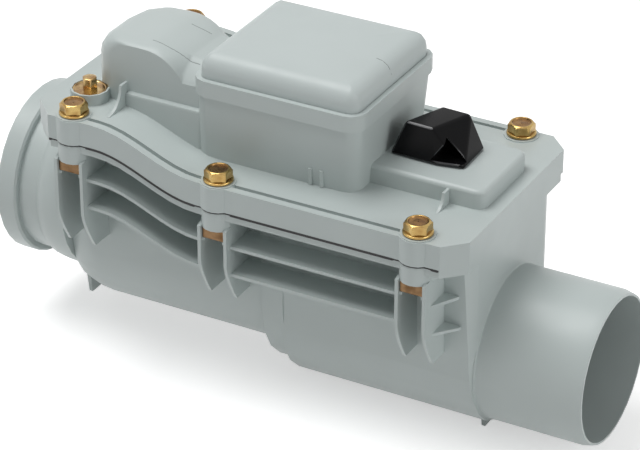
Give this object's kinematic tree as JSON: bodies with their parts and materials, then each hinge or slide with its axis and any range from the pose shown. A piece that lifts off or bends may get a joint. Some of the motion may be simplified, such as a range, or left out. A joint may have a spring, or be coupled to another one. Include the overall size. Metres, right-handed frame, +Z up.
{
  "type": "backwater valve",
  "caption": "Grey plastic backwater valve for drain pipe, with two hinged flaps under a bolted cover and a hand-turned emergency lock.",
  "frame": {"origin": "centre of the overall length and width, at the height of the feet", "axes": "+X with the flow, from the inlet socket to the outlet spigot; +Z up through the cover; -Y the side with the test plug"},
  "size_m": [0.456, 0.1838, 0.2565],
  "materials": {
    "grey_plastic": "satin",
    "flap_plastic": "satin",
    "black_plastic": "satin",
    "lock_plastic": "satin",
    "rubber": "matte",
    "gold_steel": "satin",
    "bronze": "satin",
    "steel": "satin"
  },
  "bodies": {
    "housing": {"valve_body": "grey_plastic", "cover": "grey_plastic", "cover_gasket": "rubber", "box_cap": "grey_plastic", "box_cap_seal": "rubber", "inlet_lip_seal": "rubber", "inlet_hinge_pin": "steel", "outlet_hinge_pin": "steel", "test_plug": "bronze", "test_plug_seal": "rubber", "cover_bolt_1": "gold_steel", "bolt_washer_1": "gold_steel", "square_nut_1": "bronze", "cover_bolt_2": "gold_steel", "bolt_washer_2": "gold_steel", "square_nut_2": "bronze", "cover_bolt_3": "gold_steel", "bolt_washer_3": "gold_steel", "square_nut_3": "bronze", "cover_bolt_4": "gold_steel", "bolt_washer_4": "gold_steel", "square_nut_4": "bronze", "cover_bolt_5": "gold_steel", "bolt_washer_5": "gold_steel", "square_nut_5": "bronze", "cover_bolt_6": "gold_steel", "bolt_washer_6": "gold_steel", "square_nut_6": "bronze"},
    "inlet_flap": {"inlet_flap": "flap_plastic", "inlet_flap_gasket": "rubber"},
    "outlet_flap": {"outlet_flap": "flap_plastic", "outlet_flap_gasket": "rubber"},
    "emergency_lock": {"lock_handle": "black_plastic", "lock_shaft": "steel", "lock_o_ring": "rubber", "lock_finger": "lock_plastic", "lock_finger_screw": "steel", "lock_clip": "steel"}
  },
  "joints": [
    {"name": "inlet_flap_swing", "type": "hinge", "parent": "housing", "child": "inlet_flap", "pos_m": [-0.16338, 0, 0.16453], "axis": [0, -1, 0], "range_deg": [0, 70]},
    {"name": "outlet_flap_swing", "type": "hinge", "parent": "housing", "child": "outlet_flap", "pos_m": [0.02162, 0, 0.12203], "axis": [0, -1, 0], "range_deg": [0, 70]},
    {"name": "emergency_lock_turn", "type": "hinge", "parent": "housing", "child": "emergency_lock", "pos_m": [0.089, 0.006, 0.191], "axis": [0, 0, 1], "range_deg": [0, 90]}
  ]
}
